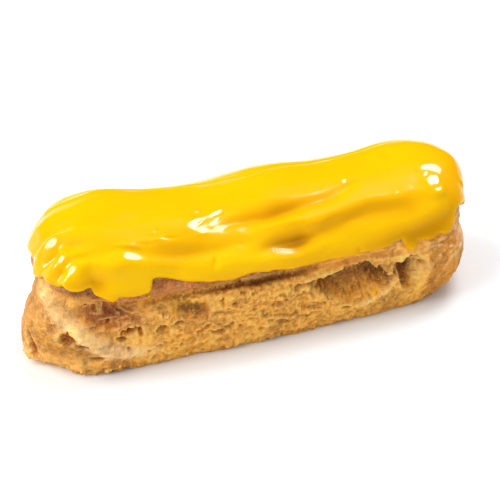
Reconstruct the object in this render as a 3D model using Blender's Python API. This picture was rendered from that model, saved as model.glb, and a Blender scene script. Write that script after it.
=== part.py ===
"""An eclair: a baked choux shell under a thick coat of yellow icing.

The eclair lies along X and stands on Z = 0 with its front towards -Y. Its form is a set of signed
distances (negative inside) made from rounded bars, swellings, pockets and seams. Rays cast outwards
from the spine of the loaf find that form's skin, and the points found become rings of faces.
"""

import math

import bmesh
import bpy
import numpy as np

MM = 0.001

# The part's origin, under the middle of the loaf, in the frame that places the features below
ORIGIN = (3.2 * MM, 0.1 * MM, 0.0)

# Loaf: the spine is the centre line that every ray starts from
SPINE_LEFT = -43.0 * MM
SPINE_RIGHT = 53.5 * MM
SPINE_HEIGHT = 17.0 * MM
END_LEFT = 20.5 * MM
END_RIGHT = 17.5 * MM
END_SQUARENESS = 2.35
BOW = 1.0 * MM

# Lower body, which stands on a flat foot
BASE_HALF_WIDTH = 21.5 * MM
BASE_CENTRE = 11.0 * MM
BASE_HALF_HEIGHT = 14.0 * MM
BASE_SQUARENESS = 2.9

# Upper crust, a browned cap whose lip overhangs the lower body
CROWN_HALF_WIDTH = 19.5 * MM
CROWN_CENTRE = 20.0 * MM
CROWN_TOP = 36.6 * MM
CROWN_SQUARENESS = 2.3
LIP_HEIGHT = 21.2 * MM
LIP_BLEND = 0.8 * MM

# Icing
ICING_SIDE = 1.8 * MM
ICING_TOP = 2.4 * MM
ICING_EDGE = 24.8 * MM
EDGE_FILM = 0.6 * MM
EDGE_ROUNDING = 1.8 * MM
FIT_GAP = 0.3 * MM

# Rings of faces: columns along the front, the back and round each end, then the rows
CHOUX_COLUMNS = (79, 40, 17)
CHOUX_HEIGHTS = (0.0, 0.9, 2.1, 3.3, 4.5, 5.7, 6.9, 8.1, 9.3, 10.5, 11.7, 12.9, 14.2, 15.6)
CHOUX_ANGLES = (0.0, 4.5, 8.5, 11.5, 14.0, 17.5, 22.0, 29.0, 39.0, 51.0, 64.0, 77.0, 90.0)
ICING_COLUMNS = (51, 51, 17)
ICING_OUTER_ROWS = 14
ICING_INNER_ROWS = 7

# Where the loaf is fuller or leaner than an even bar: centre, reach and amount in millimetres
BASE_SWELLS = (
    ((-64.0, -3.0, 3.0), 8.5, 2.3),       # left foot
    ((-64.5, -7.0, 2.0), 3.0, 0.9),       # crumb on it
    ((-58.0, 7.0, 17.5), 9.0, -5.2),      # waist above it
    ((66.0, -11.0, 21.0), 5.0, -2.6),     # waist at the right end
    ((69.0, -5.0, 19.0), 5.0, -1.6),
    ((54.0, -17.0, 2.0), 15.0, -1.1),     # tucked right front foot
    ((47.0, -18.0, 20.5), 7.0, 1.2),      # crevice closing on the right
    ((-56.0, -14.0, 21.0), 8.0, 1.2),     # and on the left
    ((58.0, -15.0, 13.0), 8.0, 0.9),      # smooth browned lobe on the right
)
CROWN_SWELLS = (
    ((-40.0, 12.0, 39.5), 13.0, 1.4),     # left shoulder
    ((-54.0, 12.0, 34.0), 6.0, -0.5),
    ((-60.0, 2.0, 26.5), 9.5, -3.8),      # under the left nose
    ((67.0, 1.0, 36.5), 10.0, 3.1),       # full right end
    ((70.0, -7.0, 28.0), 5.0, -0.9),
    ((65.0, -14.0, 22.5), 4.5, -1.0),     # and its waist
)

# Burst bubbles in the side: centre and half sizes in millimetres, and the tilt in degrees
POCKETS = (
    ((28.5, -21.5, 12.3), (15.5, 5.5, 5.8), -4.0),     # long cave on the right
    ((12.5, -21.5, 15.4), (6.0, 2.0, 1.7), 12.0),      # its narrow left tip
    ((46.0, -20.5, 14.5), (3.0, 5.0, 4.8), 8.0),       # cavity beside it
    ((-20.0, -21.5, 17.3), (4.6, 4.8, 3.6), 0.0),      # arched cave
    ((-36.0, -22.5, 13.2), (3.5, 3.4, 1.5), 22.0),     # slot
    ((-28.4, -22.5, 12.0), (1.7, 2.6, 2.0), 0.0),      # small pockets along the foot
    ((-17.1, -22.3, 10.8), (2.2, 2.6, 1.5), 15.0),
    ((-11.5, -22.3, 9.3), (3.0, 2.8, 1.7), 12.0),
    ((5.5, -22.6, 8.6), (2.4, 1.8, 1.6), 0.0),
    ((12.5, -22.3, 7.2), (2.6, 1.8, 1.8), 0.0),
    ((-55.2, -18.9, 14.2), (2.1, 3.0, 2.0), 0.0),      # holes in the left lobe
    ((-47.0, -21.8, 7.2), (2.6, 2.2, 1.6), 5.0),
    ((-41.5, -23.5, 19.0), (9.0, 3.0, 4.6), 0.0),      # sunken browned patch
    ((-0.5, -24.0, 14.5), (9.0, 2.8, 5.5), 0.0),       # spongy middle
    ((-31.0, 23.0, 12.5), (8.0, 4.6, 4.0), 6.0),       # back
    ((-6.0, 22.8, 8.6), (4.0, 2.8, 1.9), -10.0),
    ((17.0, 23.0, 14.0), (10.0, 5.0, 4.2), 5.0),
    ((3.0, 22.6, 17.0), (2.2, 2.2, 1.6), 0.0),
    ((37.5, 21.6, 8.8), (3.6, 2.8, 2.1), 0.0),
    ((-52.0, 20.6, 9.4), (2.6, 2.6, 1.8), 0.0),
)

# Lines along which the skin is raised or sunk: points, half width and amount in millimetres
CHOUX_SEAMS = (
    (((-58.6, -11.0, 26.0), (-54.7, -16.8, 22.9), (-49.1, -20.7, 16.9), (-43.0, -21.6, 12.5),
      (-38.5, -21.4, 9.5)), 2.6, 1.2),                                     # pale fold of dough
    (((49.5, -19.5, 20.0), (50.0, -19.6, 8.0)), 1.8, 0.7),                 # wall beside the cavity
    (((-52.0, 20.5, 18.0), (-44.0, 21.8, 11.0), (-39.0, 21.5, 7.5)), 2.6, 0.9),
    (((44.0, 20.5, 18.0), (52.0, 19.0, 10.0)), 2.2, 0.9),
)
ICING_SEAMS = (
    (((-31.0, -15.8, 36.2), (-22.4, -16.2, 35.0), (-13.5, -16.3, 34.2)), 2.0, -0.9),
    (((-3.0, -11.5, 37.8), (6.7, -11.7, 38.2), (18.0, -11.5, 38.0), (31.0, -6.6, 39.4)), 2.4, -1.1),
    (((4.2, -18.1, 32.0), (8.6, -18.3, 32.0), (13.2, -17.8, 32.2)), 2.0, -1.3),
    (((14.0, -18.0, 32.4), (28.5, -15.6, 34.0), (38.0, -14.6, 34.6), (46.5, -15.0, 34.6)),
     2.6, -0.7),
    (((50.4, -19.4, 26.5), (57.2, -17.7, 30.0)), 4.0, -0.7),
    (((-56.0, 9.6, 34.6), (-52.0, 7.0, 39.2), (-46.5, 6.5, 41.6), (-34.0, 9.0, 41.0),
      (-9.0, 7.0, 38.6), (12.5, 8.0, 40.0), (35.0, 10.0, 38.0), (51.0, 11.6, 39.2)), 1.8, -0.45),
    (((-57.5, -5.0, 34.0), (-51.0, -5.5, 38.6), (-40.0, -7.0, 40.5)), 2.4, 0.7),
    (((-55.5, -11.0, 32.5), (-50.0, -11.5, 37.6), (-38.0, -12.5, 38.9)), 2.2, 0.8),
    (((-53.0, -16.0, 30.0), (-48.0, -15.8, 35.4), (-34.0, -17.0, 35.4)), 2.2, 0.8),
    (((-59.0, 7.5, 29.5), (-57.0, 3.0, 35.0)), 3.0, 0.6),
    (((-30.0, 15.5, 36.0), (-5.0, 16.5, 34.0), (20.0, 15.5, 36.0)), 2.4, -0.8),
    (((10.0, 19.0, 29.5), (30.0, 17.5, 31.5), (48.0, 16.5, 33.0)), 2.6, -0.7),
)

# Drips and gaps in the icing's edge: place in plan, reach and drop in millimetres (up if negative)
DRIPS = (
    ((-62.0, 0.0), 17.0, -3.4),
    ((-53.0, -17.5), 6.5, -2.2),
    ((-43.0, -21.0), 2.5, 0.9),
    ((-37.0, -21.0), 6.0, -0.9),
    ((-28.2, -21.0), 3.2, -4.0),
    ((-20.0, -21.0), 7.0, -1.9),
    ((-3.0, -21.0), 8.0, -0.9),
    ((46.5, -20.0), 2.2, 3.4),
    ((31.0, -20.0), 8.0, 0.7),
    ((51.5, -19.5), 3.5, 1.6),
    ((63.5, -15.5), 4.5, -4.2),
    ((70.0, -7.0), 4.0, -0.6),
    ((-25.0, 21.0), 5.0, 2.0),
    ((-12.0, 21.0), 4.0, -1.4),
    ((6.0, 21.0), 6.0, 1.6),
    ((33.0, 21.0), 4.0, 2.6),
    ((-46.0, 20.0), 4.0, 1.0),
    ((68.0, 8.0), 6.0, 1.4),
)

# Colours
BAKED = (0.62, 0.33, 0.12, 1.0)
YELLOW = (0.99, 0.66, 0.0, 1.0)


def bump(t):
    return np.exp(-t * t)


def smooth_min(a, b, blend):
    share = np.clip(0.5 + 0.5 * (b - a) / blend, 0.0, 1.0)
    return b * (1 - share) + a * share - blend * share * (1 - share)


def smooth_max(a, b, blend):
    return -smooth_min(-a, -b, blend)


def bow(x):
    """The loaf bends slightly, so its centre line moves sideways."""
    return 0.6 * MM + BOW * np.tanh((x - 20 * MM) / (25 * MM))


def crown_top(x):
    """The crust's back rises at both ends and a little in the middle."""
    return (CROWN_TOP + 2.6 * MM * bump((x + 40 * MM) / (18 * MM))
            + 1.4 * MM * bump((x - 12 * MM) / (14 * MM))
            + 1.8 * MM * bump((x - 52 * MM) / (10 * MM)))


def bar(p, half_width, centre, half_height, squareness, end_share=1.0):
    """Distance to a bar with rounded ends, laid along the spine; half_height can vary along it."""
    x, z = p[..., 0], p[..., 2] - centre
    past = x - np.clip(x, SPINE_LEFT, SPINE_RIGHT)
    along = half_width * end_share * past / np.where(past < 0, END_LEFT, END_RIGHT)
    across = p[..., 1] - bow(x)
    reach = (np.abs(along) ** END_SQUARENESS
             + np.abs(across) ** END_SQUARENESS) ** (1 / END_SQUARENESS)
    share = ((reach / half_width) ** squareness
             + np.abs(z / half_height) ** squareness) ** (1 / squareness)
    return np.hypot(reach, z) * (share - 1) / np.maximum(share, 1e-6)


def swell(p, places):
    """Sum of soft mounds centred on the places listed."""
    total = np.zeros(p.shape[:-1])
    for centre, reach, amount in places:
        away = np.linalg.norm(p - np.array(centre) * MM, axis=-1)
        total += amount * MM * bump(away / (reach * MM))
    return total


def seams(p, lines):
    """Sum of soft ridges or grooves that follow the lines listed."""
    total = np.zeros(p.shape[:-1])
    for points, half_width, amount in lines:
        nearest = np.full(p.shape[:-1], np.inf)
        for start, end in zip(points, points[1:]):
            start, end = np.array(start) * MM, np.array(end) * MM
            share = ((p - start) @ (end - start)) / ((end - start) @ (end - start))
            foot = start + np.clip(share, 0, 1)[..., None] * (end - start)
            nearest = np.minimum(nearest, np.linalg.norm(p - foot, axis=-1))
        total += amount * MM * bump(nearest / (half_width * MM))
    return total


def pocket(p, centre, half_sizes, tilt):
    """Distance to one burst bubble, an ellipsoid tilted in the plane of the loaf's side."""
    x, y, z = np.moveaxis(p - np.array(centre) * MM, -1, 0)
    turn = math.radians(tilt)
    turned = np.stack([x * math.cos(turn) + z * math.sin(turn), y,
                       z * math.cos(turn) - x * math.sin(turn)], axis=-1)
    share = np.linalg.norm(turned / (np.array(half_sizes) * MM), axis=-1)
    return (share - 1) * min(half_sizes) * MM


def crown_body(p):
    height = crown_top(p[..., 0]) - CROWN_CENTRE
    body = bar(p, CROWN_HALF_WIDTH, CROWN_CENTRE, height, CROWN_SQUARENESS, 1.08)
    return body - swell(p, CROWN_SWELLS)


def choux_skin(p):
    z = p[..., 2]
    lift = 3.0 * MM * np.clip((p[..., 0] - 45 * MM) / (25 * MM), 0, 1) ** 2
    lifted = p - lift[..., None] * np.array((0.0, 0.0, 1.0))
    base = bar(lifted, BASE_HALF_WIDTH, BASE_CENTRE, BASE_HALF_HEIGHT, BASE_SQUARENESS)
    base = base - swell(p, BASE_SWELLS) - seams(p, CHOUX_SEAMS)
    crown = smooth_max(crown_body(p), LIP_HEIGHT - z, LIP_BLEND)
    loaf = smooth_min(base, crown, 0.5 * MM)
    for centre, half_sizes, tilt in POCKETS:
        loaf = smooth_max(loaf, -pocket(p, centre, half_sizes, tilt), 0.5 * MM)
    return loaf


def icing_edge(x, y):
    """Height of the icing's lower edge at a place in plan."""
    edge = np.full(np.shape(x), ICING_EDGE)
    for (drip_x, drip_y), reach, drop in DRIPS:
        edge = edge - drop * MM * bump(np.hypot(x - drip_x * MM, y - drip_y * MM) / (reach * MM))
    return edge


def icing_skin(p):
    """Outside of the icing: a film over the crust that thins to a rounded edge."""
    above = np.clip((p[..., 2] - icing_edge(p[..., 0], p[..., 1])) / EDGE_ROUNDING, 0, 1)
    upward = np.clip((p[..., 2] - 26 * MM) / (10 * MM), 0, 1)
    full = ICING_SIDE + (ICING_TOP - ICING_SIDE) * upward + seams(p, ICING_SEAMS)
    film = EDGE_FILM + (full - EDGE_FILM) * np.sqrt(above * (2 - above))
    return crown_body(p) - film


def icing_lining(p):
    """Inside of the icing, which clears the crust by the fit gap."""
    return crown_body(p) - FIT_GAP


def columns(front, back, end):
    """Spine place and outward direction of every column, once round the loaf from the left front."""
    turn = np.linspace(-90, 90, end + 2)[1:-1]
    place = np.concatenate([np.linspace(SPINE_LEFT, SPINE_RIGHT, front), np.full(end, SPINE_RIGHT),
                            np.linspace(SPINE_RIGHT, SPINE_LEFT, back), np.full(end, SPINE_LEFT)])
    angle = np.radians(np.concatenate([np.full(front, -90.0), turn, np.full(back, 90.0), turn + 180]))
    return place, np.stack([np.cos(angle), np.sin(angle)], axis=-1)


def cast(form, place, heading, height, lift):
    """Outermost point of a form along rays that leave the spine at the given height and angle."""
    lift = lift * np.ones_like(place)
    start = np.stack([place, bow(place), np.full(place.shape, height)], axis=-1)
    ray = np.concatenate([heading * np.cos(lift)[:, None], np.sin(lift)[:, None]], axis=-1)
    inside = np.full(place.shape, 34 * MM)
    outside = inside.copy()
    for _ in range(400):
        away = form(start + ray * inside[:, None])
        if (away <= 0).all():
            break
        outside = np.where(away > 0, inside, outside)
        inside = np.where(away > 0, inside - np.maximum(away * 0.5, 0.1 * MM), inside)
    for _ in range(12):
        middle = (inside + outside) / 2
        hit = form(start + ray * middle[:, None]) <= 0
        inside, outside = np.where(hit, middle, inside), np.where(hit, outside, middle)
    return start + ray * inside[:, None]


def ring(mesh, points):
    return [mesh.verts.new(point - np.array(ORIGIN)) for point in points]


def band(mesh, lower, upper):
    """Triangles between two rings, each pair split along its shorter diagonal."""
    for k in range(len(lower)):
        n = (k + 1) % len(lower)
        a, b, c, d = lower[k], lower[n], upper[n], upper[k]
        if (a.co - c.co).length <= (b.co - d.co).length:
            faces = (a, b, c), (a, c, d)
        else:
            faces = (a, b, d), (b, c, d)
        for face in faces:
            if len(set(face)) == 3:
                mesh.faces.new(face)


def ridge(mesh, points, front, back, end):
    """Top row: one vertex a place serves front and back, and each end's columns meet in one."""
    side = ring(mesh, points[front + end:front + end + back][::-1])
    share = (back - 1) / (front - 1)
    return ([side[int(k * share + 0.5)] for k in range(front)] + [side[-1]] * end
            + side[::-1] + [side[0]] * end)


def finish_node(name, mesh, colour, roughness):
    bmesh.ops.recalc_face_normals(mesh, faces=mesh.faces)
    data = bpy.data.meshes.new(name)
    mesh.to_mesh(data)
    mesh.free()
    node = bpy.data.objects.new(name, data)
    bpy.context.scene.collection.objects.link(node)
    for polygon in data.polygons:
        polygon.use_smooth = True
    material = bpy.data.materials.new(name)
    material.use_nodes = True
    shader = material.node_tree.nodes["Principled BSDF"]
    shader.inputs["Base Color"].default_value = colour
    shader.inputs["Roughness"].default_value = roughness
    material.diffuse_color = colour
    material.roughness = roughness
    data.materials.append(material)
    return node


def make_choux():
    place, heading = columns(*CHOUX_COLUMNS)
    foot = cast(choux_skin, place, heading, 0.02 * MM, 0.0)
    foot[:, 2] = 0.0
    rings = [foot]
    rings += [cast(choux_skin, place, heading, height * MM, 0.0) for height in CHOUX_HEIGHTS[1:]]
    rings += [cast(choux_skin, place, heading, SPINE_HEIGHT, math.radians(angle))
              for angle in CHOUX_ANGLES]
    mesh = bmesh.new()
    rows = [ring(mesh, points) for points in rings[:-1]]
    rows.append(ridge(mesh, rings[-1], *CHOUX_COLUMNS))
    mesh.faces.new(rows[0])
    for lower, upper in zip(rows, rows[1:]):
        band(mesh, lower, upper)
    return finish_node("choux_shell", mesh, BAKED, 0.6)


def make_icing():
    """Outer and inner skins share their columns and meet in a rounded edge."""
    place, heading = columns(*ICING_COLUMNS)
    crust = cast(crown_body, place, heading, SPINE_HEIGHT, math.radians(24))
    out = np.hypot(crust[:, 0] - place, crust[:, 1] - bow(place))
    low = np.arctan2(icing_edge(crust[:, 0], crust[:, 1]) - SPINE_HEIGHT, out)
    mesh = bmesh.new()

    def skin(form, count, power):
        rings = [cast(form, place, heading, SPINE_HEIGHT,
                      low + (math.pi / 2 - low) * (step / (count - 1)) ** power)
                 for step in range(count)]
        top = ridge(mesh, rings[-1], *ICING_COLUMNS)
        return rings[0], [ring(mesh, points) for points in rings[:-1]] + [top]

    outer_edge, outer_rows = skin(icing_skin, ICING_OUTER_ROWS, 1.25)
    inner_edge, inner_rows = skin(icing_lining, ICING_INNER_ROWS, 1.0)
    middle = ring(mesh, (outer_edge + inner_edge) / 2 - np.array((0.0, 0.0, EDGE_FILM / 2)))
    for lower, upper in zip([middle] + outer_rows, outer_rows):
        band(mesh, lower, upper)
    for lower, upper in zip([middle] + inner_rows, inner_rows):
        band(mesh, upper, lower)
    return finish_node("yellow_icing", mesh, YELLOW, 0.25)


# ---- build ----
for leftover in list(bpy.data.objects):
    bpy.data.objects.remove(leftover, do_unlink=True)

make_choux()
make_icing()
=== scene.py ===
"""An eclair lying on a pale floor: baked choux pastry under a thick coat of glossy yellow icing."""

import math

import bpy
import numpy as np
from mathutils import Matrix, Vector


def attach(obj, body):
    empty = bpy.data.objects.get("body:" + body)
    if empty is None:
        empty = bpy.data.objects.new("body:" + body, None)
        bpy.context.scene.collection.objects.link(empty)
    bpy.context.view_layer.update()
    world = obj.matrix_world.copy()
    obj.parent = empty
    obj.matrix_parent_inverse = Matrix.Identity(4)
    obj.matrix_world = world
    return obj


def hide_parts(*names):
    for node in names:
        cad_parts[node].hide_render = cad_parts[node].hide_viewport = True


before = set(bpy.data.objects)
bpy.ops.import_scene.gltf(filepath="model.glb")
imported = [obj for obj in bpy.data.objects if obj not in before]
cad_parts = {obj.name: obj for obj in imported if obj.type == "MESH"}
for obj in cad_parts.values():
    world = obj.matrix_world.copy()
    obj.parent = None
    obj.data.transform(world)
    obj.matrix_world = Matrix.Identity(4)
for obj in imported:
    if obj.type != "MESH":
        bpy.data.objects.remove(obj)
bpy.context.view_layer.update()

# Choux shell. A bar of choux paste is piped on a tray and baked. Steam blows it up, so its lower
# body swells, folds and bursts open in bubbles along the side, while the top sets first as a
# smooth browned crust with a lip. The crumb shows spongy and golden where the skin has torn.
MM = 0.001
MIDDLE = np.array((3.2, 0.1, 0.0)) * MM

SPINE_LEFT, SPINE_RIGHT, SPINE_HEIGHT = -43.0 * MM, 53.5 * MM, 17.0 * MM
END_LEFT, END_RIGHT, END_SQUARENESS = 20.5 * MM, 17.5 * MM, 2.35
BASE_HALF_WIDTH, BASE_CENTRE, BASE_HALF_HEIGHT, BASE_SQUARENESS = 21.5 * MM, 11 * MM, 14 * MM, 2.9
CROWN_HALF_WIDTH, CROWN_CENTRE, CROWN_TOP, CROWN_SQUARENESS = 19.5 * MM, 20 * MM, 36.6 * MM, 2.3
CROWN_END_SHARE, LIP_HEIGHT, LIP_BLEND = 1.08, 22.2 * MM, 0.8 * MM
BOW_SIDE, BOW_AMOUNT, BOW_PLACE, BOW_REACH = 0.6 * MM, 1.0 * MM, 20 * MM, 25 * MM
LIFT_HEIGHT, LIFT_START, LIFT_REACH = 3.0 * MM, 45 * MM, 25 * MM  # of the right end's foot

# humps of the crown's top: place along X, reach and rise in millimetres
CROWN_HUMPS = ((-40, 18, 2.6), (12, 14, 1.4), (52, 10, 1.8))

# centre, reach and amount in millimetres
BASE_SWELLS = (
    ((-64, -3, 3), 8.5, 2.3),   # left foot
    ((-64.5, -7, 2), 3, 0.9),   # crumb on it
    ((-58, 7, 17.5), 9, -5.2),  # waist above it
    ((66, -11, 21), 5, -2.6),   # waist at the right end
    ((69, -5, 19), 5, -1.6),
    ((54, -17, 2), 15, -1.1),   # tucked right front foot
    ((47, -18, 20.5), 7, 1.2),  # crevice closing on the right
    ((-56, -14, 21), 8, 1.2),   # and on the left
    ((58, -15, 13), 8, 0.9),    # smooth browned lobe on the right
    ((66, -11, 7), 8, -1.7),    # rounded in below
    ((-46, -19, 2), 9, 0.4),    # heel of the fold
    ((-21, -21, 1.5), 8, -0.9),
)
CROWN_SWELLS = (
    ((-40, 12, 39.5), 13, 1.4),   # left shoulder
    ((-54, 12, 34), 6, -0.5),
    ((-60, 2, 26.5), 9.5, -3.8),  # under the left nose
    ((67, 1, 36.5), 10, 3.1),     # full right end
    ((70, -6, 27), 6, -2),
    ((65, -14, 22.5), 5, -1.8),   # and its waist
)

# Bubbles that burst wide open on the front: the roof's and the floor's height along X, the
# depth, how far roof and floor take to reach it, and the share of it along X; in millimetres.
LONG_CAVE = (
    ((12, 17.1), (13.5, 17.3), (17, 17.7), (22, 18.5), (26.7, 19.4), (30.5, 19.8),
     (34.2, 19.1), (35, 17.9), (35.6, 17.1), (36.3, 18), (37.4, 18.2), (38, 17),
     (38.6, 15.6), (39.6, 15.2), (40.2, 13.9), (40.9, 15.3), (41.4, 16.8), (42, 17.7),
     (43.2, 17.9), (44.4, 14.8)),
    ((12, 17.1), (13.5, 16.6), (18.1, 12.6), (20.4, 10.4), (25.1, 7.4), (29.8, 6),
     (33.5, 6.5), (36.4, 7.5), (38.6, 8.9), (40.7, 10), (42.1, 11.9), (43.2, 12.6),
     (44.4, 14.8)), 6, 0.5, 6.5, ((12, 0.5), (20, 1), (38, 1), (44.4, 0.8)))
SIDE_CAVE = (
    ((42.4, 14.5), (42.9, 16.8), (43.6, 17.8), (45, 18.8), (46.6, 19.3), (48.6, 19.1),
     (50.4, 17.6), (51.6, 15.4), (52.2, 12.6)),
    ((42.4, 14.5), (43, 12.4), (43.7, 10), (44.4, 8.4), (45.6, 7.2), (47.4, 6.4),
     (49.2, 6.2), (51, 8.2), (52.2, 12.6)),
    5, 2.4, 6, ((42.4, 1), (46, 1), (49, 0.6), (52.2, 0.15)))
ARCHED_CAVE = (
    ((-27.6, 15), (-26.4, 17.7), (-24.8, 19.6), (-23.1, 20.4), (-21.1, 20.2), (-19, 19.5),
     (-16.8, 18.5), (-15.2, 17.2), (-14.6, 15)),
    ((-27.6, 15), (-25.6, 13.6), (-23.8, 13.1), (-20.9, 12.6), (-17.9, 11.6), (-15.3, 12.9),
     (-14.6, 15)), 1.5, 2.6, 6, ((-28, 0), (-23.4, 1), (-14, 1)))

# Smaller bubbles: place (X and Z), half sizes, tilt in degrees and depth; front, then back.
FRONT_PITS = (
    (-54.9, 13.5, 2.2, 2.2, 0, 3.6), (-51.3, 11.5, 1.9, 1.1, -5, 2.6),
    (-47.4, 6.7, 2.2, 0.9, -3, 2), (-58.6, 16, 1.5, 1.6, 0, 0.7), (-37.3, 13.5, 3.2, 1.1, 13, 3),
    (-34.7, 12.8, 0.8, 1.4, 0, 2.2), (-40.2, 11.6, 1.6, 0.7, -8, 1.8), (-38.3, 8.3, 0.7, 0.5, 0, 1),
    (-49.3, 22.9, 0.6, 0.7, 0, 1.3), (-46.6, 21.3, 0.6, 0.7, 0, 1.3),
    (-43.3, 18.2, 0.6, 0.8, 0, 1.3), (-28.4, 12.3, 2, 1.6, -10, 2.2), (-23.7, 13.4, 1.3, 0.8, 0, 2),
    (-16.8, 10, 2.3, 0.9, 30, 2.4), (-12.4, 8, 2.2, 1, -6, 2.8), (-9.4, 9.4, 1.8, 0.9, 48, 2.5),
    (-29.6, 7.3, 1.1, 0.6, -10, 1.1), (-23.2, 5.9, 0.8, 0.5, 0, 0.9),
    (-32.6, 6.5, 0.6, 0.5, 0, 0.9), (-1.3, 17.6, 0.9, 0.6, 0, 1.1), (-1.6, 12.8, 0.9, 0.6, 0, 1),
    (1.2, 10.3, 1.1, 0.6, 0, 1), (-7.3, 15.5, 1, 0.6, 10, 1), (-4.6, 18.3, 1.2, 0.6, 0, 1.2),
    (5.8, 13.1, 2.5, 1, 12, 1), (12.4, 12.1, 2.7, 1.6, 5, 1.1), (12.8, 16.9, 2.3, 0.9, 0, 0.9),
    (6.8, 6.7, 2.4, 0.9, -18, 1), (15.6, 6.6, 1.7, 0.6, 20, 1.6), (15.2, 9.6, 3, 1.5, -5, 0.8),
    (26.4, 6.2, 1.5, 0.5, -4, 1.5), (30.4, 5.3, 1.3, 0.5, 8, 1.5),
)
BACK_PITS = (
    (-31, 12.5, 8, 4, 6, 4), (-6, 8.6, 4, 1.9, -10, 2.4), (17, 14, 10, 4.2, 5, 4.6),
    (3, 17, 2.2, 1.6, 0, 1.6), (37.5, 8.8, 3.6, 2.1, 0, 2.2), (-52, 9.4, 2.6, 1.8, 0, 1.8),
    (-17, 6.5, 2.2, 0.9, 10, 1.6), (29.5, 6, 2.6, 1, -8, 1.5), (-42, 6.2, 2, 1, 0, 1.4),
    (46, 14.5, 1.6, 2.2, 20, 1.6),
)

# Soft hollows and ridges of the skin: X, Y, Z, half width and amount at each point.
FOLD = ((-59.6, -6.5, 26, 1.8, 0.3), (-58.6, -12.3, 24, 2.2, 1.2), (-56.3, -16.6, 21.2, 2.4, 1.8),
        (-53.2, -20, 18, 2.5, 2), (-50.6, -21.4, 14.9, 2.5, 2), (-46.6, -21.9, 10.8, 2.5, 1.8),
        (-41.8, -22, 7.8, 2.3, 1.5), (-35, -22, 6.6, 2, 0.9), (-29, -22, 6.4, 1.8, 0.2))
# lower border of the smooth crust under the icing: X and height
BAND_BORDER = ((-66, 28.6), (-58, 27.6), (-53, 26.4), (-49.8, 26), (-45.4, 24.4), (-40, 22.9),
               (-36, 22.4), (16, 22.4), (24, 22.6), (40, 23.2), (52, 23.8), (66, 26))
CREVICE = ((-41, -20, 21.2, 0.7, -0.2), (-30, -19.9, 21.6, 0.9, -0.7), (-18, -19.6, 21.4, 1, -1.2),
           (-6, -19.5, 21.3, 1.2, -2.3), (6, -19.4, 21.3, 1.2, -2.5), (14, -19.2, 21.5, 1.1, -1.8),
           (21, -19, 21.9, 0.8, -0.3))
CAVE_LIP = ((12, -20.4, 18, 0.5, 0.2), (21.8, -19.6, 19.2, 0.6, 0.5), (30.5, -18.6, 20.5, 0.6, 0.6),
            (36, -18.8, 19.9, 0.6, 0.6), (43, -19.4, 19.7, 0.6, 0.6), (49.1, -19.7, 20.6, 0.6, 0.5),
            (54, -18.9, 20.2, 0.5, 0.1))
FLOOR_RIM = ((29, -20, 6.3, 0.6, 0.3), (33, -20, 6.4, 0.7, 0.8), (36.6, -20.2, 7.4, 0.7, 1),
             (39.6, -20.4, 9, 0.7, 1.1), (41.9, -20.6, 11.2, 0.6, 1.1),
             (42.9, -20.6, 12.4, 0.5, 0.6))
FOOT_GROOVE = ((-63.8, -8.2, 10.4, 0.9, -0.5), (-62.9, -9.2, 7.6, 1.3, -2.3),
               (-62.2, -9.6, 5.4, 1.4, -2.6), (-61.2, -10.4, 3.8, 1.1, -1.2))
SKIN_STROKES = (
    FOLD,
    FOOT_GROOVE,
    ((-65.4, -6.2, 5.4, 0.8, 0.4), (-64.8, -7.4, 4.2, 0.9, 1.3), (-63.4, -8.8, 3, 0.9, 1.4),
     (-61.6, -10.2, 2.4, 0.8, 0.9), (-60.4, -11.4, 2.2, 0.7, 0.3)),  # torn crumb below it
    ((-48.7, -20.2, 20.2, 0.5, 0.2), (-47.5, -21, 17.7, 0.55, 0.6),
     (-45, -21.5, 16.6, 0.6, 0.7), (-42.6, -21, 17.3, 0.55, 0.6),
     (-41.8, -20, 19.6, 0.5, 0.2)),  # wrinkles
    ((-47.7, -21.5, 16.7, 0.5, 0.2), (-42.9, -22, 15, 0.65, 0.6), (-39.4, -21.7, 15.4, 0.65, 0.8),
     (-36.1, -21.5, 16.4, 0.5, 0.3)),
    ((-50, -19.6, 20.9, 0.5, 0.2), (-45.8, -19.5, 20.5, 0.55, 0.5), (-42, -20, 21.2, 0.5, 0.2)),
    ((-41.4, -20.6, 18.2, 0.6, -0.2), (-39.2, -20, 19.4, 0.7, -0.8),
     (-37.6, -19.8, 21.6, 0.6, -0.6), (-34, -19.8, 22.2, 0.6, -0.2)),
    CAVE_LIP,
    FLOOR_RIM,
    ((51.6, -20, 18.4, 0.8, 0.3), (52.6, -20.4, 13.5, 0.9, 0.5), (52.2, -20, 9.4, 0.9, 0.4),
     (51.5, -19.2, 6.6, 0.9, 0.2)),  # wall by the cave
    ((-52, 20.5, 18, 2.2, 0.3), (-44, 21.8, 11, 2.6, 1), (-39, 21.5, 7.5, 2.4, 0.4)),
    ((44, 20.5, 18, 2, 0.3), (52, 19, 10, 2.2, 0.9)),
)


def bump(t):
    return np.exp(-t * t)


def length(vectors):
    return np.linalg.norm(vectors, axis=-1)


def ramp(value, low, high):
    share = np.clip((value - low) / (high - low), 0, 1)
    return share * share * (3 - 2 * share)


def smooth_min(a, b, blend):
    share = np.clip(0.5 + 0.5 * (b - a) / blend, 0.0, 1.0)
    return b * (1 - share) + a * share - blend * share * (1 - share)


def smooth_max(a, b, blend):
    return -smooth_min(-a, -b, blend)


def bow(x):
    """The loaf bends slightly, so its centre line moves sideways."""
    return BOW_SIDE + BOW_AMOUNT * np.tanh((x - BOW_PLACE) / BOW_REACH)


def crown_top(x):
    return sum((rise * MM * bump((x - hump * MM) / (reach * MM))
                for hump, reach, rise in CROWN_HUMPS), CROWN_TOP)


def hidden_dent(z):
    """The crown gives way a little under the icing's deepest strokes; in millimetres."""
    return 2.2 * ramp(z, 29.5, 32)


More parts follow.
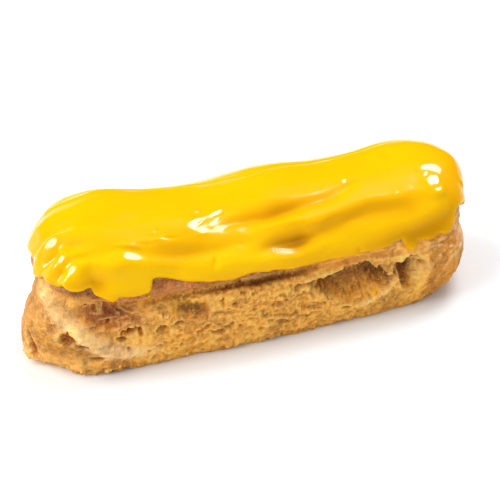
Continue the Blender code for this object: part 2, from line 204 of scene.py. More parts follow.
def bar(p, half_width, centre, half_height, squareness, end_share=1.0):
    """Distance to a bar with rounded ends, laid along the spine; negative inside."""
    x, z = p[..., 0], p[..., 2] - centre
    past = x - np.clip(x, SPINE_LEFT, SPINE_RIGHT)
    along = half_width * end_share * past / np.where(past < 0, END_LEFT, END_RIGHT)
    across = p[..., 1] - bow(x)
    reach = (np.abs(along) ** END_SQUARENESS
             + np.abs(across) ** END_SQUARENESS) ** (1 / END_SQUARENESS)
    share = ((reach / half_width) ** squareness
             + np.abs(z / half_height) ** squareness) ** (1 / squareness)
    return np.hypot(reach, z) * (share - 1) / np.maximum(share, 1e-6)


def swell(p, places):
    total = np.zeros(p.shape[:-1])
    for centre, reach, amount in places:
        total += amount * MM * bump(length(p - np.array(centre) * MM) / (reach * MM))
    return total


def crown_body(p):
    height = crown_top(p[..., 0]) - CROWN_CENTRE
    body = bar(p, CROWN_HALF_WIDTH, CROWN_CENTRE, height, CROWN_SQUARENESS, CROWN_END_SHARE)
    return body - swell(p, CROWN_SWELLS)


def whole_loaf(p):
    """The loaf before its bubbles burst."""
    x = p[..., 0]
    lift = LIFT_HEIGHT * np.clip((x - LIFT_START) / LIFT_REACH, 0, 1) ** 2
    lifted = p - lift[..., None] * (0, 0, 1)
    base = bar(lifted, BASE_HALF_WIDTH, BASE_CENTRE, BASE_HALF_HEIGHT, BASE_SQUARENESS)
    base = base - swell(p, BASE_SWELLS)
    crown = smooth_max(crown_body(p), LIP_HEIGHT - p[..., 2], LIP_BLEND)
    joined = ramp(x, 10 * MM, 20 * MM) + ramp(-x, 38 * MM, 48 * MM)
    return smooth_min(base, crown, (0.5 + 2.2 * joined * (p[..., 1] < 0)) * MM)


def random_at(cells, seed):
    """A repeatable number from 0 to 1 for each lattice point."""
    mixed = (cells[..., 0] * 374761393 + cells[..., 1] * 668265263
             + cells[..., 2] * 1440662683 + seed * 1274126177) & 0xFFFFFFFF
    mixed = ((mixed ^ (mixed >> 13)) * 1274126177) & 0xFFFFFFFF
    return ((mixed ^ (mixed >> 16)) & 0xFFFF) / 65535.0


def noise(q, size, seed):
    """Smooth noise from -1 to 1 with features of the given size, or sizes along X, Y and Z."""
    scaled = q / np.array(size)
    cell = np.floor(scaled).astype(np.int64)
    share = scaled - cell
    share = share ** 3 * (share * (share * 6 - 15) + 10)
    total = np.zeros(q.shape[:-1])
    for corner in range(8):
        step = np.array([corner & 1, corner >> 1 & 1, corner >> 2 & 1])
        weight = np.prod(np.where(step, share, 1 - share), axis=-1)
        total += weight * random_at(cell + step, seed)
    return total * 2 - 1


def bubbles(q, size, seed):
    """Distance to the nearest scattered bubble, as a share of the size between bubbles."""
    scaled = q / np.array(size)
    cell = np.floor(scaled).astype(np.int64)
    nearest = np.full(q.shape[:-1], 9.0)
    for corner in range(27):
        near = cell + np.array([corner % 3, corner // 3 % 3, corner // 9]) - 1
        centre = near + np.stack([random_at(near, seed + k) for k in range(3)], axis=-1)
        nearest = np.minimum(nearest, length(scaled - centre))
    return nearest


def trail(points, steps=6):
    """A smooth curve through the points; every column is carried along."""
    points = np.array(points, float)
    ends = np.concatenate([[2 * points[0] - points[1]], points, [2 * points[-1] - points[-2]]])
    share = np.linspace(0, 1, steps, endpoint=False)[:, None]
    parts = []
    for a, b, c, d in zip(ends, ends[1:], ends[2:], ends[3:]):
        parts.append(b + share * (c - a) / 2 + share ** 2 * (2 * a - 5 * b + 4 * c - d) / 2
                     + share ** 3 * (3 * b - a - 3 * c + d) / 2)
    return np.concatenate(parts + [points[-1:]])


def stroke(q, points):
    """Ridge or groove along a curve of (X, Y, Z, half width, amount)."""
    path = trail(points)
    margin = 2.6 * path[:, 3].max()
    near = ((q > path[:, :3].min(axis=0) - margin) & (q < path[:, :3].max(axis=0) + margin)).all(-1)
    spot = q[near]
    strongest = np.zeros(len(spot))
    for start, end in zip(path, path[1:]):
        way = end[:3] - start[:3]
        share = np.clip(((spot - start[:3]) @ way) / (way @ way), 0, 1)
        away = length(spot - start[:3] - share[:, None] * way)
        half_width, amount = (start[k] + share * (end[k] - start[k]) for k in (3, 4))
        value = amount * bump(away / half_width)
        strongest = np.where(np.abs(value) > np.abs(strongest), value, strongest)
    total = np.zeros(q.shape[:-1])
    total[near] = strongest
    return total


def columns(front, right, back, left):
    """Spine place and outward direction of every column, once round from the left front."""
    def turn(count):
        return np.linspace(-90, 90, count + 2)[1:-1]
    place = np.concatenate([
        np.linspace(SPINE_LEFT, SPINE_RIGHT, front), np.full(right, SPINE_RIGHT),
        np.linspace(SPINE_RIGHT, SPINE_LEFT, back), np.full(left, SPINE_LEFT)])
    angle = np.radians(np.concatenate([np.full(front, -90.0), turn(right),
                                       np.full(back, 90.0), turn(left) + 180]))
    return place, np.stack([np.cos(angle), np.sin(angle)], axis=-1)


RAY_REACH, RAY_STEP, SMALLEST_STEP = 34 * MM, 0.6, 0.12 * MM
MOST_STEPS, HALVINGS = 300, 10


def cast(form, start, ray):
    """Outermost point of a form along each ray."""
    inside = np.full(start.shape[:-1], RAY_REACH)
    outside = inside.copy()
    for _ in range(MOST_STEPS):
        away = form(start + ray * inside[..., None])
        if (away <= 0).all():
            break
        outside = np.where(away > 0, inside, outside)
        inside = np.where(away > 0, inside - np.maximum(away * RAY_STEP, SMALLEST_STEP), inside)
    for _ in range(HALVINGS):
        middle = (inside + outside) / 2
        hit = form(start + ray * middle[..., None]) <= 0
        inside, outside = np.where(hit, middle, inside), np.where(hit, outside, middle)
    return start + ray * inside[..., None]


def rays(place, heading, height, lift):
    """Rays from the spine at each height and lift (an angle); rows first, then columns."""
    start = np.stack(np.broadcast_arrays(place, bow(place), height + 0 * lift), axis=-1)
    ray = np.stack(np.broadcast_arrays(heading[:, 0] * np.cos(lift), heading[:, 1] * np.cos(lift),
                                       np.sin(lift)), axis=-1)
    return start, ray


def outward(grid):
    """Unit normal at each grid point."""
    round_loaf = np.roll(grid, -1, axis=1) - np.roll(grid, 1, axis=1)
    normal = np.cross(round_loaf, np.gradient(grid, axis=0))
    return normal / np.maximum(np.linalg.norm(normal, axis=-1, keepdims=True), 1e-9)


def softened(values, reach):
    """Mean over a square of neighbours on the grid."""
    total = sum(np.roll(values, k, axis=1) for k in range(-reach, reach + 1))
    padded = np.pad(total, ((reach, reach), (0, 0)), mode="edge")
    count = 2 * reach + 1
    return sum(padded[k:k + len(values)] for k in range(count)) / count ** 2


def ring_faces(lower, upper):
    following = np.roll(lower, -1), np.roll(upper, -1)
    return np.stack([lower, following[0], following[1], upper], axis=-1)


def ridge_index(first, front, right, back, left):
    """Vertex of the top row that each column meets: front and back share one row of vertices."""
    share = (back - 1) / (front - 1)
    side = [first + int(k * share + 0.5) for k in range(front)]
    return np.array(side + [first + back - 1] * right
                    + [first + k for k in range(back)][::-1] + [first] * left)


def shown(name, data):
    """New object in the scene."""
    piece = bpy.data.objects.new(name, data)
    bpy.context.scene.collection.objects.link(piece)
    return piece


def make_mesh(name, points, faces, attributes):
    """Mesh object from points and quads; a quad with a repeated corner becomes a triangle."""
    corners = []
    for face in faces:
        kept = [v for k, v in enumerate(face) if v != face[k - 1]]
        if len(kept) > 2:
            corners.append(kept)
    data = bpy.data.meshes.new(name)
    data.from_pydata((points - MIDDLE).tolist(), [], corners)
    data.polygons.foreach_set("use_smooth", np.ones(len(corners), dtype=bool))
    for label, values in attributes.items():
        kind, key = ("FLOAT_COLOR", "color") if values.ndim == 2 else ("FLOAT", "value")
        data.attributes.new(label, kind, "POINT").data.foreach_set(key, values.ravel())
    return shown(name, data)


def profile(x, points):
    """Value along X of a line through the points."""
    return np.interp(x, *np.array(points).T)


def cave(x, z, roof, floor, depth, roof_reach, floor_reach, shares):
    """Depth of a wide burst bubble between its roof's edge and its floor's rim."""
    depth = depth * profile(x, shares)
    under_roof = np.clip((profile(x, roof) - z) / roof_reach, 0, 1)
    above_floor = np.clip((z - profile(x, floor)) / floor_reach, 0, 1)
    return depth * np.sqrt(under_roof) * np.sin(above_floor * math.pi / 2) ** 1.3


def pit(x, z, place_x, place_z, half_x, half_z, tilt, depth):
    """Depth of a small bubble, deepest towards its top."""
    turn = math.radians(tilt)
    u = ((x - place_x) * math.cos(turn) + (z - place_z) * math.sin(turn)) / half_x
    v = ((z - place_z) * math.cos(turn) - (x - place_x) * math.sin(turn)) / half_z
    return depth * np.clip(1 - u * u - v * v, 0, 1) ** 0.45 * (0.7 + 0.3 * v)


CHOUX_COLUMNS = (330, 84, 140, 116)
place, heading = columns(*CHOUX_COLUMNS)
heights = np.concatenate([[0.02], np.linspace(0.25, 15.9, 66)]) * MM
angles = np.radians(np.concatenate([np.linspace(0, 30, 44), [33, 38, 45, 54, 66, 78, 90]]))
start, ray = rays(place, heading,
                  np.concatenate([heights, np.full(len(angles), SPINE_HEIGHT)])[:, None],
                  np.concatenate([np.zeros(len(heights)), angles])[:, None])
skin = cast(whole_loaf, start, ray)
q = skin / MM
x, y, z = np.moveaxis(q, -1, 0)
facing_front, facing_back = ramp(-y, 3, 8), ramp(y, 3, 8)

# torn bubbles, with ragged outlines
shift_x = 0.5 * noise(q, 2.2, 10) + 0.3 * noise(q, 0.9, 11)
shift_z = 0.5 * noise(q, 2.2, 12) + 0.3 * noise(q, 0.9, 13)
cave_depth = np.max([cave(x + 0.5 * shift_x, z + 0.8 * shift_z, *each)
                     for each in (LONG_CAVE, SIDE_CAVE, ARCHED_CAVE)], axis=0) * facing_front
pit_depth = np.maximum(
    np.max([pit(x + 0.6 * shift_x, z + 0.6 * shift_z, *each) for each in FRONT_PITS], axis=0)
    * facing_front,
    np.max([pit(x + shift_x, z + shift_z, *each) for each in BACK_PITS], axis=0) * facing_back)
depth = np.maximum(cave_depth, pit_depth)
in_cave = ramp(depth, 0.5, 2.2)
# painted shade under the roofs of the long cave and the cave beside it
under_roof = ramp(cave_depth, 0.4, 1.6) * np.max(
    [shade * bump((profile(x, roof) - z) / 3.8)
     for roof, shade in ((LONG_CAVE[0], 0.9), (SIDE_CAVE[0], 0.8))], axis=0)

# where each kind of crust lies
border = 22.4 + (profile(x, BAND_BORDER) - 22.4) * ramp(-y, -8, 0)
border = border + 0.35 * noise(q, 2.6, 40)
blur = 0.35 + 0.5 * ramp(-x, 36, 46)
band = ramp(z, border - blur, border + blur)
fold = np.clip(stroke(q, FOLD), 0, 1)
right_lobe = ramp(x, 49.5, 53) * ramp(-y, -12, 2) * (1 - ramp(z, 23, 25))
left_lobe = ramp(-x - 0.9 * (z - 18), 50, 53) * (1 - band)
# flecks of painted highlight on the right lobe's shine, also raised a little
glint_flecks = ramp(noise(q, (1.3, 1.3, 0.7), 62), 0.35, 0.6)
glint_flecks = right_lobe * glint_flecks * ramp(z, 13, 17) * ramp(x, 53, 56)
hollow_x, hollow_z = (x + 42.5) / 9.5, (z - 19.0 + 0.25 * (x + 42.5)) / 5.0
concave = bump(hollow_x ** 2 + hollow_z ** 2) * facing_front * (1 - 0.7 * band)
pale_lip = ramp(x, 8, 18) * (1 - ramp(x, 50, 56)) * ramp(z, 17.0, 19.0) * facing_front * (1 - band)
sponge = (ramp(x, -36, -26) * (1 - ramp(x, 46, 51))) * (1 - band) * (1 - pale_lip)
sponge = np.maximum(sponge, facing_back * (1 - band) * ramp(noise(q, 9, 41), -0.4, 0.3))

# relief of the skin and crumb, in millimetres
twist = q + np.stack([noise(q, 3, 30 + k) for k in range(3)], axis=-1) * 1.5
wrinkle = (1 - np.abs(noise(twist, (2.8, 2.6, 1.4), 7))) ** 3
layers = noise(twist, (6, 5, 0.9), 15) + 0.6 * noise(q, (2.4, 2, 0.5), 16)
fibres = noise(q, (0.75, 2.6, 5), 8)
grain = 0.6 * noise(q, 1, 3) + 0.4 * noise(q, 0.6, 4)
torn = (1 - np.abs(noise(twist, (2.8, 2.2, 1.5), 9))) ** 2
clusters = ramp(noise(q, (5, 4, 3), 14), -0.3, 0.5)
pores = np.maximum(0, 1 - bubbles(twist, (3.1, 2.6, 2), 5) / 0.55) ** 0.8 * clusters
small_pores = np.maximum(0, 1 - bubbles(q, (1.5, 1.3, 1.1), 6) / 0.5) * (0.3 + 0.7 * clusters)
relief = 0.30 * noise(q, 7, 1) + 0.22 * noise(q, 3.3, 2)
relief *= 1 - 0.5 * band
relief += grain * (0.16 + 0.16 * sponge * (1 - in_cave)) * (1 - 0.5 * band) * (1 - 0.5 * right_lobe)
relief -= (0.7 * pores + 0.35 * small_pores) * sponge * (1 - in_cave)
relief += (0.24 * (torn - 0.45) + 0.24 * layers) * sponge * (1 - in_cave)
relief -= 0.16 * small_pores * (1 - sponge) * (1 - band) * (1 - right_lobe)
relief += (wrinkle - 0.3) * (1.1 * concave + 0.42 * right_lobe + 0.16 * left_lobe)
relief += 0.3 * glint_flecks
relief += (0.12 * fibres + 0.2 * grain + 0.2 * (torn - 0.45)) * in_cave
waist = ramp(-x, 26, 38) * (1 - ramp(-x, 54, 60)) * facing_front * (1 - band)
relief -= 1.7 * concave + 0.9 * waist
relief += 0.22 * pale_lip * noise(q, (1.6, 1.2, 0.8), 60) + 0.1 * band * noise(q, (3, 1, 0.7), 61)
for points in SKIN_STROKES:
    relief += stroke(q, points)
crevice = np.clip(-stroke(q, CREVICE), 0, 2)
relief -= crevice
rim_edge = np.clip(softened(depth, 2) - depth, 0, 1)
relief += 0.5 * rim_edge
foot = ramp(x, -59, -50) * (1 - ramp(x, 52, 60))
relief += 1.9 * foot * bump(z / 4) * facing_front * (1 + 0.3 * noise(q, 1.2, 17))
relief *= ramp(z, 0.0, 1.0) * 0.3 + 0.7
relief *= 1 - ramp(z, 29.5, 31.0)
relief -= hidden_dent(z)

points = skin - ray * (depth * MM)[..., None]
points = points + outward(skin) * (relief * MM)[..., None]
points[..., 2] = np.maximum(points[..., 2], 0.0)
points[0, :, 2] = 0.0

# baked colour, in linear light: each kind of crust is laid over the ones before it, then painted
# shade in hollows, pits, crevices, cave roofs and under the icing, and painted light on ridges and
# rims
def mixed(base, other, share):
    return base + (other - base) * np.clip(share, 0, 1)[..., None]


height_map = relief - depth
# how far each point lies below its neighbours: painted shade goes into hollows, painted light onto
# ridges
hollow = softened(height_map, 3) - height_map
patches = ramp(noise(twist, (4.5, 3, 1.3), 52), 0.05, 0.7)
blotches = ramp(noise(q, (3, 3, 1.6), 53), 0, 0.6)
pale_foot = facing_front * (1 - ramp(z, 3.5, 10)) * (1 - ramp(x, -49, -41))
# painted shadow on the crust under the icing's drip at the left
painted_drip_shadow = bump((z - 20.7) / 0.9) * bump((x + 42.0) / 4.0) * facing_front
# inside of the cave beside the long cave, which takes painted shade and painted light
inner_wall = ramp(cave_depth, 0.3, 1.2) * ramp(x, 42, 43)
corner = inner_wall * bump((x - 45.0 - 0.3 * (z - 14)) / 4.2) * ramp(z, 6, 9)
# painted light along the long cave's lip and the rim of its floor, ledges that catch the light
painted_rim_light = np.clip(stroke(q, CAVE_LIP) / 0.6, 0, 1) + np.clip(stroke(q, FLOOR_RIM) / 0.8, 0, 1)
foot_groove = np.clip(-stroke(q, FOOT_GROOVE) / 1.6, 0, 1)
# painted sheen along the wrinkle crests of the right lobe
painted_sheen_wrinkles = right_lobe * ramp(wrinkle, 0.45, 0.8) * ramp(z, 9, 14)
band_tint = mixed(np.full(points.shape, (0.60, 0.23, 0.060)), (0.57, 0.305, 0.115),
                  ramp(x, 10, 30))
# the arched cave's inside: painted light towards its shaded roof, painted shade towards its lit
# floor
arch_painted_shading = mixed(np.full(points.shape, (0.80, 0.33, 0.045)), (1, 0.50, 0.050),
                  ramp(z, 15.0, 17.5))
colour = np.full(points.shape, (0.93, 0.475, 0.078))
for layer, share in (
        ((0.68, 0.30, 0.045), 0.8 * patches * sponge),
        ((0.66, 0.30, 0.036), left_lobe),
        ((0.58, 0.235, 0.03), 0.8 * left_lobe * (1 - ramp(z, 3, 13))),
        ((1, 0.54, 0.125), 0.85 * pale_foot),
        ((0.97, 0.60, 0.26), 0.95 * fold * (1 - 0.45 * ramp(z, 18, 23))),
        ((0.66, 0.255, 0.056), 0.95 * concave * (1 - 0.7 * fold)),
        ((0.36, 0.120, 0.03), 0.8 * concave * blotches),
        # painted shadow under the icing's drip
        ((0.32, 0.095, 0.027), 0.75 * painted_drip_shadow),
        ((0.76, 0.325, 0.05), 0.9 * right_lobe),
        ((0.94, 0.47, 0.095), 0.9 * pale_lip),
        (band_tint, band),
        # painted shade on the crust band just under the icing's edge
        ((0.34, 0.115, 0.032), 0.8 * band * ramp(z, 24.6, 27.4) * (1 - ramp(x, -16, -8))),
        ((1, 0.48, 0.07), 0.85 * in_cave),
        # painted light and shade inside the arched cave
        (arch_painted_shading, ramp(cave_depth, 0.1, 0.6) * (1 - ramp(x, -14, -12))),
        # painted shade under the cave roofs
        ((0.15, 0.034, 0.003), 0.95 * under_roof),
        # painted shade in the side cave's dark corner
        ((0.17, 0.050, 0.006), 0.9 * corner),
        # painted light on the side cave's lit right wall
        ((1, 0.62, 0.17), 0.8 * inner_wall * ramp(x + 0.5 * fibres, 46.8, 49.4)),
        # painted light on the cave's rims
        ((1, 0.64, 0.21), 0.9 * painted_rim_light * (1 - ramp(depth, 0.5, 1.5))),
        # painted shade in the groove along the left foot
        ((0.50, 0.145, 0.01), 0.9 * foot_groove),
        # painted shade inside the pits, deeper where they are deeper
        ((0.42, 0.13, 0.01), 0.75 * ramp(pit_depth, 0.9, 2)),
        # painted shade in the crevice under the crown's lip
        ((0.20, 0.065, 0.014), 0.85 * np.clip(crevice, 0, 1)),
        # painted shade in the hollows
        ((0.42, 0.145, 0.022), 1.3 * np.clip(hollow, 0, 0.6)),
        # painted light on the ridges
        ((1, 0.66, 0.2), 1.2 * np.clip(-hollow, 0, 0.5) * (1 - 0.7 * band)),
        # painted highlight flecks on the right lobe
        ((0.98, 0.68, 0.34), 0.9 * glint_flecks),
        # painted sheen on the right lobe's wrinkles
        ((0.95, 0.56, 0.2), 0.5 * painted_sheen_wrinkles)):
    colour = mixed(colour, layer, share)
shade = 1 + 0.16 * noise(q, 5, 50) + 0.18 * noise(q, 1.6, 51) + 0.16 * grain
colour = np.clip(colour * shade[..., None], 0, 1)
crust_and_painted_shading = np.concatenate([colour, np.ones(colour.shape[:-1] + (1,))], axis=-1)
dullness = 0.62 - 0.30 * right_lobe - 0.06 * band

# where grains and scraps of torn crust cling, and specks of icing
SCRAP_PLACES = (
    ((-64.4, -7.2, 4.6), 1.4, 1), ((-62.6, -9.2, 3.4), 1.4, 1), ((-60.8, -11.2, 2.6), 1.3, 0.9),
    ((-52, -16.5, 1.4), 2.4, 0.35), ((-44, -20.5, 1.6), 2.4, 0.3), ((40.3, -19.5, 14.4), 1, 0.9),
    ((35.6, -19.2, 17.4), 0.9, 0.7), ((21, -20, 10.6), 1.4, 0.4), ((-27, -21, 16.8), 1.2, 0.4),
    ((-58, 10, 1.5), 3, 0.3), ((30, 20.5, 1.6), 4, 0.2),
)
SPECK_PLACES = (
    ((35.8, -18.9, 8.2), 0.55, 1), ((-32, -19.6, 23.4), 0.4, 1), ((12, 20.6, 12), 0.5, 1),
)
grains = (facing_front + facing_back) * ramp(z, 0.5, 0.9) * (
    0.75 * bump((z - 1.4) / 1.5) * ramp(noise(q, 2.6, 92), -0.5, 0.4) + 0.7 * rim_edge
    + (0.10 * sponge + 0.05 * left_lobe) * clusters)
scraps = swell(points, SCRAP_PLACES) / MM
specks = swell(points, SPECK_PLACES) / MM

rows, count = points.shape[:2]
index = np.arange(rows * count).reshape(rows, count)
faces = [ring_faces(index[k], index[k + 1]) for k in range(rows - 2)]
first = (rows - 1) * count
front, right, back, left = CHOUX_COLUMNS
faces.append(ring_faces(index[-2], ridge_index(first, *CHOUX_COLUMNS)))
keep = slice(front + right, front + right + back)


def with_ridge(values):
    """Rows of values laid out as vertices: every full row, then the shared top row."""
    tail = values.shape[2:]
    return np.concatenate([values[:-1].reshape((-1,) + tail), values[-1, keep][::-1]])


choux = make_mesh("baked_choux", with_ridge(points),
                  [tuple(index[0][::-1])] + np.concatenate(faces).tolist(),
                  {"crust_and_painted_shading": with_ridge(crust_and_painted_shading), "dullness": with_ridge(dullness),
                   "grains": with_ridge(grains), "scraps": with_ridge(scraps),
                   "specks": with_ridge(specks)})


def new_material(name):
    material = bpy.data.materials.new(name)
    material.use_nodes = True
    return material, material.node_tree, material.node_tree.nodes["Principled BSDF"]


def feed(tree, node, inputs):
    """Give a node's inputs their values, or link other nodes' outputs to them."""
    for name, value in inputs.items():
        if isinstance(value, bpy.types.NodeSocket):
            tree.links.new(value, node.inputs[name])
        else:
            node.inputs[name].default_value = value


def made(tree, kind, output, inputs=None, **settings):
    """The named output of a new node."""
    node = tree.nodes.new(kind)
    for name, value in settings.items():
        setattr(node, name, value)
    feed(tree, node, inputs or {})
    return node.outputs[output]


def from_mesh(tree, name, output="Fac"):
    """What a mesh's own attribute says at each point."""
    return made(tree, "ShaderNodeAttribute", output, attribute_name=name)


def stops(tree, share, *row):
    """Colour along a row of stops, each with its place from 0 to 1."""
    node = tree.nodes.new("ShaderNodeValToRGB")
    for _ in row[2:]:
        node.color_ramp.elements.new(0.5)
    for stop, (spot, tint) in zip(node.color_ramp.elements, row):
        stop.position, stop.color = spot, (*tint, 1)
    feed(tree, node, {"Fac": share})
    return node.outputs["Color"]


crust, tree, shader = new_material("baked_crust")
where = made(tree, "ShaderNodeTexCoord", "Object")
speckle = made(tree, "ShaderNodeTexNoise", "Fac",
               {"Vector": where, "Scale": 900, "Detail": 4, "Roughness": 0.65})
pinholes = made(tree, "ShaderNodeTexNoise", "Fac", {"Vector": where, "Scale": 2600, "Detail": 2})
brighten = made(tree, "ShaderNodeMapRange", "Result", {
    "Value": speckle, "From Min": 0.3, "From Max": 0.7, "To Min": 1.32, "To Max": 0.76})
darken = made(tree, "ShaderNodeMapRange", "Result", {
    "Value": pinholes, "From Min": 0.34, "From Max": 0.52, "To Min": 1.45, "To Max": 0.96})
toasting = made(tree, "ShaderNodeMath", "Value", {0: brighten, 1: darken}, operation="MULTIPLY")
toasted = made(tree, "ShaderNodeGamma", "Color",
               {"Color": from_mesh(tree, "crust_and_painted_shading", "Color"), "Gamma": toasting})
rough = made(tree, "ShaderNodeBump", "Normal",
             {"Height": speckle, "Strength": 0.8, "Distance": 0.35 * MM})
pitted = made(tree, "ShaderNodeBump", "Normal",
              {"Height": pinholes, "Normal": rough, "Strength": 0.5, "Distance": 0.15 * MM})
feed(tree, shader, {"Base Color": toasted, "Roughness": from_mesh(tree, "dullness"),
                    "Normal": pitted, "Specular IOR Level": 0.3})
choux.data.materials.append(crust)

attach(choux, "root")
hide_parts("choux_shell")

# Icing. Warm fondant icing is spread along the top with a knife, so it keeps long strokes and
# dimples, runs down the left end in thick fingers, sags into a rounded edge with drips, and
# sets with a wet gloss.
ICING_SIDE, ICING_TOP, ICING_EDGE = 1.8 * MM, 2.4 * MM, 24.8 * MM
EDGE_FILM, EDGE_ROUNDING, FIT_GAP = 0.5 * MM, 1.2 * MM, 0.3 * MM
THINNEST_COAT = 0.7  # in millimetres
# the first is the plain colour's place along the row, with no light or shade painted; the second is
# how much light is painted on the lower front of the coat
UNPAINTED_SHARE, FRONT_PAINTED_LIGHT = 0.2, 0.17  # shares along the row of fondant colours
SATIN, WET_SHINE, RIPPLED_SPOT, LINING = 0.21, 0.06, 0.30, 0.2

